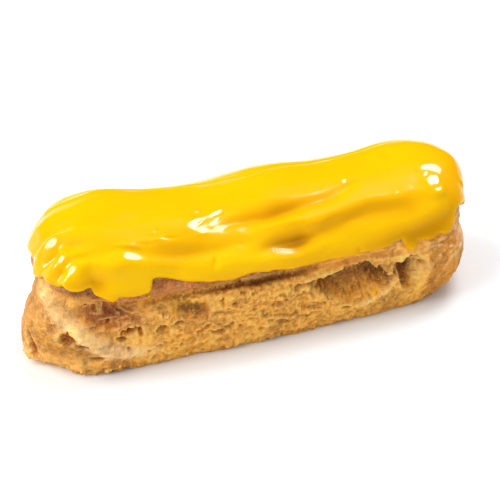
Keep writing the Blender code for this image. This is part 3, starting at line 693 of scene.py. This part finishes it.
# strokes of the knife: X, Y, Z, half width and amount at each point, in millimetres
ICING_STROKES = (
    ((-34, -16.6, 34.2, 1.7, 0), (-29, -16.9, 34, 2, -0.5), (-23, -17.3, 33.7, 2.2, -1.2),
     (-15, -17.6, 33.4, 2.1, -0.9), (-7, -17.8, 33, 1.8, -0.4), (-1, -17.6, 33.2, 1.4, -0.1)),
    ((-26, -19.8, 30, 2.6, 0.1), (-18, -20, 29.4, 3, 0.5), (-8, -20.4, 29, 3, 0.7),
     (3, -20.4, 28, 2.6, 0.8), (11, -20.3, 27.8, 2.6, 0.9), (20, -19.9, 28, 2.8, 0.3),
     (36, -18.6, 28.6, 3, 0.3), (46, -18.2, 29, 2.6, 0.1)),
    ((-9, -12.8, 36.2, 1.8, -0.2), (-3, -12.3, 36.6, 2, -0.9), (4.8, -11.8, 37, 2.3, -1.7),
     (7.9, -11.4, 37.2, 2.3, -1.9), (14.8, -11, 37.5, 2.1, -1.5), (23.9, -10, 37.4, 2, -1.1),
     (31.4, -7.6, 38.4, 1.7, -0.8), (35, -6.2, 38.8, 1, -0.1)),
    ((-4, -14.8, 34.6, 1.6, 0.1), (6, -14.6, 35.2, 1.8, 0.4), (18, -14.6, 35, 2.2, 1),
     (30, -13.6, 35.4, 2.6, 1), (40, -13.2, 35.9, 2.8, 1), (50, -13.5, 35.9, 2.6, 0.4)),
    ((0.5, -18.2, 30.8, 1.7, -0.2), (6, -18.5, 30.8, 2.2, -1.7), (10.5, -18.5, 30.7, 2.3, -2.4),
     (13.4, -18.3, 30.9, 2.1, -2.2), (16.4, -18, 31.2, 1.7, -0.6)),
    ((14.6, -17.7, 31.4, 2.2, -0.9), (20.6, -17.2, 32.4, 2.3, -0.9), (28.2, -16, 33.7, 2.3, -0.9),
     (35.7, -15.1, 34.2, 2.3, -0.8), (44.3, -15.5, 33.4, 2.4, -0.6), (50, -16.4, 31.8, 2.6, -0.2)),
    ((-12.9, -19, 32.2, 0.7, -0.1), (-13.2, -19.6, 30.4, 0.8, -0.7),
     (-13.6, -20.2, 28.6, 0.7, -0.1)),
    ((29.6, -20, 26.4, 0.7, -0.1), (29.9, -20, 24.2, 0.8, -0.9), (30.1, -20, 22.4, 0.7, -0.9)),
    ((47.4, -19.2, 26, 1.2, -0.2), (48.4, -19.2, 24, 1.5, -0.8), (51.7, -19, 23.4, 1.4, -0.5)),
    ((42, -19.4, 27.4, 2.2, -0.3), (51, -18.8, 26.8, 2.6, -1.4), (57, -16.8, 27.4, 2.8, -1.7),
     (61.5, -13, 29.4, 2.4, -0.8)),
    ((58.5, -14.5, 34, 2.2, -0.2), (60, -15.2, 30, 2.2, -0.9), (59.4, -16.6, 26.4, 1.8, -0.6)),
    ((46.5, 3.6, 40.8, 1.2, -0.1), (48.2, 3.8, 40.9, 1.5, -0.6), (50, 4, 41, 1.2, -0.1)),
    ((65.6, -9, 34.4, 0.9, 0.1), (66.6, -8.4, 33.4, 1, 0.5), (67.4, -8, 32.2, 0.9, 0.1)),
    # fingers over the left end, and the hollows between them
    ((-59.5, 7.4, 28.6, 2.2, 0.5), (-57, 5.5, 33.8, 2.6, 0.9), (-52.6, 3, 38.8, 2.8, 0.6),
     (-45, 1, 41.5, 3, 0.1)),
    ((-59.6, 1.5, 29, 1.2, -0.3), (-57.8, -0.6, 33.6, 1.4, -1.1), (-54, -2.4, 37.6, 1.8, -0.7),
     (-48, -4.6, 40.6, 1.9, -0.5), (-38.1, -7, 41.2, 1.9, -0.4), (-27.4, -6.9, 40, 1.8, -0.2)),
    ((-60.4, -5.2, 28.6, 1.8, 0.4), (-57.8, -5.9, 34, 2, 1.2), (-54.4, -6.3, 37.6, 2.1, 1.5),
     (-49, -8, 40, 2.4, 0.3)),
    ((-58.8, -9.4, 29, 1, -0.4), (-56.2, -9.9, 34.4, 1.2, -1.2), (-52, -10.6, 37.6, 1.3, -0.9),
     (-46, -12.2, 38.9, 1.5, -0.3)),
    ((-58, -12.6, 28.6, 1.6, 0.4), (-55.9, -12.9, 32.8, 1.8, 1.1), (-53.2, -12.9, 36, 1.9, 1.6),
     (-48, -14, 38, 2.2, 0.2)),
    ((-55.8, -15.6, 29.5, 0.9, -0.3), (-53.4, -15.4, 33.6, 1.1, -0.8),
     (-50, -15.2, 36.2, 1.3, -0.4), (-45, -15.6, 36.8, 1.3, -0.1)),
    ((-54.8, -17.6, 27.8, 1.8, 0.8), (-53, -17.8, 31.6, 2.1, 1.6), (-50.6, -17.2, 34.4, 2.2, 1.8),
     (-45.5, -17.8, 34.8, 2.6, 1.1), (-41, -18.2, 34.2, 2.8, 1.7), (-36.5, -18.4, 33.7, 2.7, 1.2),
     (-31, -18.7, 33, 2.6, 0.7), (-25, -19, 32.4, 2.4, 0.2), (-20, -19.2, 32, 2, 0)),
    ((-51, -20, 30.4, 2, -0.4), (-48.6, -20.2, 31, 2.7, -1.7), (-45.8, -20.2, 31, 2.7, -1.8),
     (-42, -19.8, 31.2, 2.4, -0.6), (-38, -19.6, 31.2, 2, -0.1)),
    # a streak and a drop on the shoulder, and the curl above the notch
    ((-39, -14.8, 37.6, 1.3, 0.1), (-34, -14.8, 37.6, 1.5, 0.6), (-28, -14.8, 37.4, 1.6, 0.7),
     (-22, -14.2, 37.3, 1.4, 0.1)),
    ((-14.2, -7.3, 39.4, 0.9, 0.35), (-13.6, -7.1, 39.4, 0.9, 0.35)),
    ((-29, -19.4, 30.6, 1.2, -0.3), (-25, -19.8, 29.8, 1.3, -0.9), (-21, -20, 28.4, 1.2, -0.3)),
    # back edge of the top coat
    ((-56.5, 11.5, 31.4, 0.8, 0.2), (-53.8, 9.3, 35.9, 0.8, 0.35), (-49.7, 7.6, 39.6, 0.8, 0.35),
     (-43.5, 6.9, 41.5, 0.8, 0.3), (-34.2, 9.5, 40.6, 0.8, 0.3), (-14.5, 7, 38.5, 0.8, 0.3),
     (-7, 3.5, 39.3, 0.8, 0.25), (3.6, 2.8, 40, 0.8, 0.25), (21.2, 5.2, 39.8, 0.8, 0.3),
     (36.4, 8, 38.7, 0.8, 0.3), (48.3, 9.7, 39.5, 0.8, 0.2)),
    ((-55.8, 13, 32.2, 1, -0.2), (-52.4, 10.8, 36.8, 1, -0.35), (-47, 8.9, 40.4, 1, -0.35),
     (-34.2, 11.2, 40, 1, -0.35), (-14.5, 8.8, 38.2, 1, -0.35), (3.6, 4.9, 40, 1, -0.3),
     (21.2, 7.2, 39.6, 1, -0.35), (36.4, 9.8, 38.4, 1, -0.3), (48.3, 11.4, 39.2, 1, -0.2)),
    ((-30, 15.5, 36, 2.2, -0.2), (-5, 16.5, 34, 2.4, -0.9), (20, 15.5, 36, 2.2, -0.2)),
    ((10, 19, 29.5, 2.4, -0.2), (30, 17.5, 31.5, 2.6, -0.9), (48, 16.5, 33, 2.4, -0.2)),
)

# broad swells of the coat: centre, reach and amount
ICING_SWELLS = (
    ((-20, -11.5, 38), 8, 1.4),
    ((-2, -12.5, 37.5), 7, -0.7),
    ((8, 6, 39.5), 13, 1.1),
    ((33, -7, 39), 10, 1.1),
    ((55.5, -13.5, 36.8), 3.6, 0.8),
)
# where shade is painted into the coat's colour, along its grooves and where it curls under: X, Y,
# Z, half width and share at each point
ICING_PAINTED_SHADE = (
    ((2.5, -18.6, 31.2, 1.8, 0.1), (7, -18.9, 31.2, 2.4, 0.55), (12, -18.9, 31.2, 2.7, 0.8),
     (15.5, -18.5, 31.4, 2.3, 0.4), (19, -17.8, 32.2, 2, 0.2)),
    ((-6, -12.4, 37.4, 2, 0.1), (4, -12, 38, 2.6, 0.35), (8.5, -11.6, 38.2, 2.8, 0.5),
     (15, -11.2, 38.4, 2.4, 0.3), (25, -10, 38.2, 2, 0.15)),
    ((16, -18.3, 33, 2.4, 0.25), (24, -17.3, 34, 2.8, 0.3), (34, -15.9, 35.2, 2.8, 0.3),
     (46, -16.4, 34.4, 3, 0.2)),
    ((32, -20.4, 26, 2.6, 0.1), (40, -20.2, 26, 3.2, 0.35), (48, -19.9, 26, 3.6, 0.55),
     (55, -18.6, 26.8, 3.8, 0.65), (59.5, -16.3, 29, 3.2, 0.5), (62, -13.6, 32.5, 2.4, 0.15)),
    ((-51.5, -21, 30.6, 2, 0.1), (-48.4, -21.2, 30.6, 2.8, 0.5), (-45.6, -21.2, 30.8, 2.6, 0.4)),
    ((-28.5, -18.4, 34.8, 2.2, 0.1), (-23, -18.8, 34.4, 2.8, 0.25), (-17, -18.8, 34.2, 2.6, 0.2)),
)
# faces the knife pressed flat: middle, outward direction, half length and half width, turn of the
# length in degrees, and how flat
KNIFE_FACES = (
    ((-54.4, -7.6, 38.2), (-0.60, -0.51, 0.61), 2.2, 1.6, 35, 0.9),
    ((-53.4, -13.1, 36.4), (-0.60, -0.50, 0.62), 2.9, 1.8, 50, 0.9),
    ((-51.6, -17.1, 34.8), (-0.60, -0.50, 0.62), 3.1, 2.6, 50, 0.9),
    ((-35.3, -17.3, 36), (0.28, -0.44, 0.85), 4.6, 2.2, 8, 0.95),
    ((-39.9, -17.1, 36.4), (0.29, -0.44, 0.85), 1.3, 0.7, -20, 0.8),
    ((-40.9, -15.4, 37.2), (0.30, -0.45, 0.85), 0.9, 0.6, 35, 0.8),
    ((-27.4, -12, 38.5), (0.27, -0.45, 0.85), 1.2, 0.6, 30, 0.8),
    ((-34, -14.8, 37.8), (0.28, -0.44, 0.85), 4.2, 0.7, -2, 0.8),
    ((-25.6, -14.6, 37.5), (0.27, -0.44, 0.86), 3.4, 0.6, 4, 0.8),
    ((-13.9, -7.2, 39.6), (0.25, -0.45, 0.86), 0.9, 0.7, 0, 0.9),
    ((-15.6, -11.4, 38.5), (0.25, -0.45, 0.86), 3.7, 1.9, 25, 0.95),
    ((-9, -8.4, 38.4), (0.24, -0.45, 0.86), 4.4, 1.4, 20, 0.95),
    ((-9.7, -10.2, 37.9), (0.24, -0.45, 0.86), 2.1, 1.1, 35, 0.9),
    ((-13.6, -13.6, 37), (0.25, -0.45, 0.86), 2.7, 1, 22, 0.9),
    ((55, -7, 39.9), (0.12, -0.44, 0.89), 3, 2, -10, 0.95),
    ((55.4, -10.6, 38.1), (0.12, -0.44, 0.89), 2.6, 2.4, 0, 0.95),
    ((56.6, -13.6, 36.3), (0.12, -0.43, 0.90), 2.2, 1.7, 10, 0.95),
    ((54.4, -8.9, 39), (0.12, -0.44, 0.89), 1.5, 0.8, 60, 0.9),
    ((56.4, -12, 37.3), (0.12, -0.44, 0.89), 1.4, 0.8, 70, 0.9),
    ((30.6, -5.2, 39.7), (0.17, -0.45, 0.88), 1.3, 0.8, 25, 0.8),
    ((43.9, -12.8, 37.5), (0.14, -0.43, 0.89), 1.3, 0.8, 35, 0.6),
    ((-2.7, -13.5, 35.3), (0.23, -0.44, 0.87), 3, 1.6, 0, 0.7),
    ((6.9, -20.3, 29.1), (0.20, -0.43, 0.88), 2.6, 1.5, 0, 0.36),
    ((-4.5, -16.9, 31.8), (0.23, -0.43, 0.87), 1.5, 0.9, 0, 0.6),
)
# height of the icing's front edge along X
FRONT_EDGE = (
    (-60.4, 30.7), (-59.6, 30.9), (-58, 29.4), (-55.6, 29.2), (-54.4, 30), (-52.7, 28.5),
    (-51, 28.4), (-49.5, 28.7), (-48.3, 29.6), (-47.3, 29.5), (-46.6, 27.1), (-45, 26.2), (-42, 24),
    (-40, 25.2), (-36, 24.4), (-31.9, 24.6), (-31, 25.6), (-30.7, 27.3), (-30.4, 28.7), (-29, 29),
    (-26.5, 28.4), (-21.5, 26), (-14.7, 24.3), (-7.8, 23.5), (-2, 24.4), (1, 23.9), (4.6, 23.8),
    (10, 23), (19, 23.3), (26, 23), (29.4, 22.9), (30, 22.5), (30.6, 23.2), (38, 23.2),
    (41.5, 24.4), (43.6, 24.8), (44.1, 23.9), (44.6, 22.6), (45.8, 21.2), (47.1, 20.8),
    (48.1, 20.6), (48.4, 22), (48.7, 23.2), (49.6, 23.3), (50.4, 22.8), (51.2, 23.1), (51.8, 22.6),
    (53.5, 22.9), (54.7, 23.9), (56, 24.2), (57.8, 23.4), (58.4, 23.9), (59.5, 25), (60.5, 26.8),
    (61.4, 28.6), (62.6, 29.6), (64.7, 28.7), (66, 26.9),
)
# and how it rises or drops elsewhere: place in plan, reach and drop in millimetres
DRIPS = (
    ((-62, 0), 14, -3),
    ((70, -7), 4, -0.6),
    ((-25, 21), 5, 2),
    ((-12, 21), 4, -1.4),
    ((6, 21), 6, 1.6),
    ((33, 21), 4, 2.6),
    ((-46, 20), 4, 1),
    ((68, 8), 6, 1.4),
)


def icing_edge(x, y):
    edge = np.full(np.shape(x), ICING_EDGE)
    for (drip_x, drip_y), reach, drop in DRIPS:
        edge = edge - drop * MM * bump(np.hypot(x - drip_x * MM, y - drip_y * MM) / (reach * MM))
    front = profile(x, np.array(FRONT_EDGE) * MM)
    return edge + (front - edge) * ramp(-y, 6 * MM, 11 * MM)


def lean(form, p):
    """Outward unit normal of a form."""
    step = 0.1 * MM
    slope = np.stack([form(p + step * axis) - form(p - step * axis) for axis in np.eye(3)], axis=-1)
    return slope / np.linalg.norm(slope, axis=-1, keepdims=True)


ICING_COLUMNS = (350, 96, 150, 110)
EDGE_ANGLE = 24  # lift of the rays that find about where the edge lies
place, heading = columns(*ICING_COLUMNS)
side = cast(crown_body, *rays(place, heading, SPINE_HEIGHT, np.radians([[EDGE_ANGLE]])))[0]
out = np.hypot(side[:, 0] - place, side[:, 1] - bow(place))
edge = icing_edge(side[:, 0], side[:, 1])
edge = edge + (0.14 * noise(side / MM, 2.4, 90) + 0.08 * noise(side / MM, 0.9, 91)) * MM
low = np.arctan2(edge - SPINE_HEIGHT, out)


def crown_rows(count, power):
    """The crown's surface in rows from the icing's edge up to the ridge."""
    lift = low + (math.pi / 2 - low) * (np.linspace(0, 1, count) ** power)[:, None]
    return cast(crown_body, *rays(place, heading, SPINE_HEIGHT, lift))


under = crown_rows(100, 1.2)
outwards = lean(crown_body, under)
q = (under + outwards * ICING_TOP) / MM
above = np.min([length(under - np.roll(under[0], k, axis=0)) for k in range(-12, 13)], axis=0) / MM
upward = np.clip((under[..., 2] / MM - 26) / 10, 0, 1)
coat = (ICING_SIDE + (ICING_TOP - ICING_SIDE) * upward) / MM
warped = q + np.stack([noise(q, 6, 70 + k) for k in range(3)], axis=-1) * 0.7
for points in ICING_STROKES:
    coat += stroke(warped, points)
coat += swell(q * MM, ICING_SWELLS) / MM
coat += 0.10 * noise(warped, (22, 3.2, 3.2), 74) + 0.12 * noise(q, (9, 5, 5), 75)
crumpled = bump(length((q - (57, -10, 38)) / (6, 6, 5)))
brushed = bump(length((q - (-12, -10.4, 37.8)) / (6, 3.8, 3)))
along, across = 0.85 * q[..., 0] + 0.53 * q[..., 1], 0.85 * q[..., 1] - 0.53 * q[..., 0]
wet = ramp(q[..., 1], -9, -6)
for middle, facing, half_long, half_wide, turn, flatness in KNIFE_FACES:
    surface = under / MM + outwards * coat[..., None]
    reach = length(surface - middle)
    offset = surface - surface[np.unravel_index(reach.argmin(), reach.shape)]
    facing = np.array(facing) / np.linalg.norm(facing)
    level = np.cross((0, 1, 0), facing) / np.hypot(facing[0], facing[2])
    rise = np.cross(facing, level)
    turn = math.radians(turn)
    u = offset @ (level * math.cos(turn) + rise * math.sin(turn)) / half_long
    v = offset @ (rise * math.cos(turn) - level * math.sin(turn)) / half_wide
    flat = flatness * np.exp(-(u * u + v * v) ** 1.5) * bump(reach / 9)
    coat -= flat * (offset @ facing) / np.maximum(outwards @ facing, 0.3)
    wet = np.maximum(wet, np.exp(-((u * u + v * v) / 2) ** 2) * bump(reach / 9))
coat += crumpled * (0.07 * noise(q, 1.7, 76) + 0.045 * noise(q, 0.8, 78))
coat += 0.12 * brushed * noise(np.stack([along, across, across], axis=-1), (6, 0.9, 0.9), 79)
coat += 0.12 * bump((above - 2.0) / 1.7)
coat = smooth_max(coat, THINNEST_COAT - hidden_dent(under[..., 2] / MM), 0.5)
round_edge = np.clip(above / (EDGE_ROUNDING / MM), 0, 1)
film = EDGE_FILM / MM + (coat - EDGE_FILM / MM) * np.sqrt(round_edge * (2 - round_edge))
outer = under + outwards * (film * MM)[..., None]
lining = crown_rows(12, 1.0)
gap = FIT_GAP - hidden_dent(lining[..., 2] / MM) * MM
inner = lining + lean(crown_body, lining) * gap[..., None]
bead = (outer[0] + inner[0]) / 2 - (0, 0, EDGE_FILM / 2)
front, right, back, left = ICING_COLUMNS
keep = slice(front + right, front + right + back)
count = len(place)
stack = np.concatenate([inner[-2::-1], bead[None], outer[:-1]])
index = np.arange(stack.shape[0] * count).reshape(-1, count)
first = index.size
faces = [ring_faces(ridge_index(first, *ICING_COLUMNS), index[0])]
faces += [ring_faces(index[k], index[k + 1]) for k in range(len(index) - 1)]
faces.append(ring_faces(index[-1], ridge_index(first + back, *ICING_COLUMNS)))
points = np.concatenate([stack.reshape(-1, 3), inner[-1, keep][::-1], outer[-1, keep][::-1]])
# painted shade in the coat's colour where the coat is thin, in the knife's grooves, and along the
# listed lines
icing_painted_shading = np.clip((0.9 - film) / 2.4, 0, 1)
for shade_path in ICING_PAINTED_SHADE:
    icing_painted_shading = np.maximum(icing_painted_shading, stroke(q, shade_path))
icing_painted_shading = icing_painted_shading * (0.3 + 0.7 * round_edge)
# painted light on the lower, front-facing part of the coat
painted_front_light = ramp(-outwards[..., 1], 0.5, 0.9) * ramp(q[..., 2], 24.5, 28.5)
icing_painted_shading = UNPAINTED_SHARE + (1 - UNPAINTED_SHARE) * icing_painted_shading - FRONT_PAINTED_LIGHT * painted_front_light * (1 - icing_painted_shading)
satin = SATIN - WET_SHINE * wet
for spot in ((6.9, -20.6, 29.1), (-2.7, -13.8, 35.4), (-4.5, -17.4, 31.8), (-31.0, -14.4, 37.8)):
    satin += (RIPPLED_SPOT - satin) * bump(length((q - spot) / (5.5, 2.6, 2.6)))


def on_icing(values):
    """Values of the outer rows laid out as vertices, with one value for the lining."""
    return np.concatenate([np.full(index.size - (len(outer) - 1) * count, LINING),
                           values[:-1].ravel(), np.full(back, LINING), values[-1, keep][::-1]])


icing = make_mesh("glossy_icing", points, np.concatenate(faces).tolist(),
                  {"satin": on_icing(satin), "icing_painted_shading": on_icing(icing_painted_shading)})

fondant, tree, shader = new_material("yellow_fondant")
where = made(tree, "ShaderNodeTexCoord", "Object")
# fondant yellow along the row of painted shading: painted light at 0, the plain colour at 0.2,
# painted shade towards 1
shaded_fondant_colour = stops(tree, from_mesh(tree, "icing_painted_shading"), (0, (1, 0.575, 0)), (0.2, (0.94, 0.462, 0)),
                 (0.72, (0.60, 0.248, 0)), (1, (0.36, 0.13, 0)))
ripple = made(tree, "ShaderNodeTexNoise", "Fac", {"Vector": where, "Scale": 260, "Detail": 2})
dents = made(tree, "ShaderNodeBump", "Normal",
             {"Height": ripple, "Strength": 0.10, "Distance": 0.4 * MM})
feed(tree, shader, {"Base Color": shaded_fondant_colour, "Roughness": from_mesh(tree, "satin"),
                    "Normal": dents, "Specular IOR Level": 0.15})
icing.data.materials.append(fondant)

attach(icing, "root")
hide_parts("yellow_icing")

# Crumbs. Grains of torn crust cling along the foot and the ragged rims, with larger scraps where
# the pastry tore from its tray, and a few specks of icing that the knife let fall.
def crumb_maker(name, spread):
    """Node tree that scatters uneven grains over a surface, as dense as its attribute says."""
    tree = bpy.data.node_groups.new(name, "GeometryNodeTree")
    tree.interface.new_socket("Surface", in_out="INPUT", socket_type="NodeSocketGeometry")
    for label, kind in (("Grains per square metre", "Float"), ("Smallest", "Float"),
                        ("Largest", "Float"), ("Seed", "Int"), ("Material", "Material")):
        tree.interface.new_socket(label, in_out="INPUT", socket_type="NodeSocket" + kind)
    tree.interface.new_socket("Crumbs", in_out="OUTPUT", socket_type="NodeSocketGeometry")
    given = tree.nodes.new("NodeGroupInput").outputs
    share = made(tree, "GeometryNodeInputNamedAttribute", "Attribute", {"Name": spread})
    density = made(tree, "ShaderNodeMath", "Value",
                   {0: share, 1: given["Grains per square metre"]}, operation="MULTIPLY")
    spots = made(tree, "GeometryNodeDistributePointsOnFaces", "Points",
                 {"Mesh": given["Surface"], "Density": density, "Seed": given["Seed"]})
    ball = made(tree, "GeometryNodeMeshIcoSphere", "Mesh", {"Radius": 1, "Subdivisions": 2})
    uneven = made(tree, "ShaderNodeTexNoise", "Color", {"Scale": 1.1})
    centred = made(tree, "ShaderNodeVectorMath", "Vector", {0: uneven, 1: (0.5, 0.5, 0.5)},
                   operation="SUBTRACT")
    pushed = made(tree, "ShaderNodeVectorMath", "Vector", {0: centred, "Scale": 2.2},
                  operation="SCALE")
    shaped = made(tree, "GeometryNodeSetPosition", "Geometry",
                  {"Geometry": ball, "Offset": pushed})
    turned = made(tree, "FunctionNodeRandomValue", 0, {1: (math.tau, math.tau, math.tau)},
                  data_type="FLOAT_VECTOR")
    sized = made(tree, "FunctionNodeRandomValue", 1, {2: given["Smallest"], 3: given["Largest"]})
    placed = made(tree, "GeometryNodeInstanceOnPoints", "Instances",
                  {"Points": spots, "Instance": shaped, "Rotation": turned, "Scale": sized})
    real = made(tree, "GeometryNodeRealizeInstances", "Geometry", {"Geometry": placed})
    painted = made(tree, "GeometryNodeSetMaterial", "Geometry",
                   {"Geometry": real, "Material": given["Material"]})
    feed(tree, tree.nodes.new("NodeGroupOutput"), {"Crumbs": painted})
    return tree


def scattered(name, spread, sizes):
    """Plain mesh of everything that the crumb maker scatters over the choux."""
    carrier = shown(name + "_carrier", choux.data)
    maker = carrier.modifiers.new(name, "NODES")
    maker.node_group = crumb_maker(name, spread)
    for socket in maker.node_group.interface.items_tree:
        if socket.name in sizes:
            maker[socket.identifier] = sizes[socket.name]
    finished = carrier.evaluated_get(bpy.context.evaluated_depsgraph_get())
    data = bpy.data.meshes.new_from_object(finished)
    bpy.data.objects.remove(carrier)
    for vertex in data.vertices:
        vertex.co.z = max(vertex.co.z, 0)
    return shown(name, data)


toast, tree, shader = new_material("toasted_crumb")
where = made(tree, "ShaderNodeTexCoord", "Object")
tones = made(tree, "ShaderNodeTexNoise", "Fac", {"Vector": where, "Scale": 700})
feed(tree, shader, {
    "Base Color": stops(tree, tones, (0.35, (0.72, 0.31, 0.045)), (0.65, (1, 0.62, 0.16))),
    "Roughness": 0.7, "Specular IOR Level": 0.3})

for name, spread, smallest, largest, density, seed, material, slot in (
        ("crumb_grains", "grains", 0.16, 0.36, 1.3e6, 3, toast, "choux"),
        ("crust_scraps", "scraps", 0.35, 0.75, 0.9e6, 5, toast, "choux"),
        ("icing_specks", "specks", 0.34, 0.52, 2.6e6, 7, fondant, "icing")):
    crumbs = scattered(name, spread, {
        "Grains per square metre": density, "Smallest": smallest * MM, "Largest": largest * MM,
        "Seed": seed, "Material": material})
    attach(crumbs, "root")
for spread in ("grains", "scraps", "specks"):
    choux.data.attributes.remove(choux.data.attributes[spread])

# Floor. A plain pale table, a trace cool, that fades into white so that only a soft shadow
# shows. The gloss shows only its far half, which brightens the outline of the icing.
FLOOR_REACH, FLOOR_COLOUR = 3.0, (0.89, 0.925, 0.96, 1)
white, tree, shader = new_material("matt_white")
feed(tree, shader, {"Base Color": FLOOR_COLOUR, "Roughness": 0.9, "Specular IOR Level": 0.1})
for name, near, far in (("near_floor", -FLOOR_REACH, 0), ("far_floor", 0, FLOOR_REACH)):
    data = bpy.data.meshes.new(name)
    data.from_pydata([(-FLOOR_REACH, near, 0), (FLOOR_REACH, near, 0), (FLOOR_REACH, far, 0),
                      (-FLOOR_REACH, far, 0)], [], [(0, 1, 2, 3)])
    data.materials.append(white)
    floor = shown(name, data)
    floor.visible_glossy = name == "far_floor"

# Studio light: a soft main light high on the left, a weaker one above, behind and to the right,
# and two small lights that only the gloss shows, with a dim wide one behind.
SKY_STRENGTH = 0.56
world = bpy.data.worlds.new("studio")
bpy.context.scene.world = world
world.use_nodes = True
feed(world.node_tree, world.node_tree.nodes["Background"],
     {"Color": (1, 1, 1, 1), "Strength": SKY_STRENGTH})
world.cycles_visibility.glossy = False

# direction from the eclair, distance, size, power, and whether only the gloss shows it
LIGHTS = {
    "main_light": ((-0.68, 0.04, 0.74), 1.0, 0.9, 8.3, False),
    "top_light": ((0.38, 0.28, 0.88), 1.0, 0.5, 5.2, False),
    "gloss_light": ((0.60, 0.10, 0.79), 0.9, 0.26, 10.0, True),
    "left_gloss_light": ((-0.88, -0.05, 0.47), 0.9, 0.36, 15.5, True),
    "back_gloss_light": ((-0.10, 0.97, 0.14), 0.9, 0.5, 0.8, True),
}
for name, (direction, distance, size, watts, in_gloss) in LIGHTS.items():
    lamp = bpy.data.lights.new(name, "AREA")
    lamp.shape, lamp.size, lamp.energy = "DISK", size, watts
    light = shown(name, lamp)
    way = Vector(direction).normalized()
    light.location = way * distance + Vector((0, 0, 20 * MM))
    light.rotation_euler = way.to_track_quat("Z", "Y").to_euler()
    light.visible_glossy, light.visible_diffuse = in_gloss, not in_gloss

# Camera: a long lens, looking down on the front from slightly left of it. It aims a little to
# the right of the loaf's middle and below it.
AZIMUTH, ELEVATION, DISTANCE = math.radians(-19), math.radians(34), 430 * MM
LENS, SENSOR = 106.92, 36
AIM_HEIGHT, AIM_RIGHT, AIM_DOWN = 20 * MM, 3.94 * MM, 0.81 * MM
away = Vector((math.sin(AZIMUTH) * math.cos(ELEVATION), -math.cos(AZIMUTH) * math.cos(ELEVATION),
               math.sin(ELEVATION)))
right_way = Vector((0, 0, 1)).cross(away).normalized()
up_way = away.cross(right_way)
target = Vector((0, 0, AIM_HEIGHT)) - Vector(MIDDLE) + right_way * AIM_RIGHT - up_way * AIM_DOWN
camera_data = bpy.data.cameras.new("camera")
camera_data.lens, camera_data.sensor_width, camera_data.clip_start = LENS, SENSOR, 0.01
camera = shown("camera", camera_data)
camera.location = target + away * DISTANCE
camera.rotation_euler = away.to_track_quat("Z", "Y").to_euler()
bpy.context.scene.camera = camera

view = bpy.context.scene.view_settings
view.view_transform = "Standard"
view.look = "None"
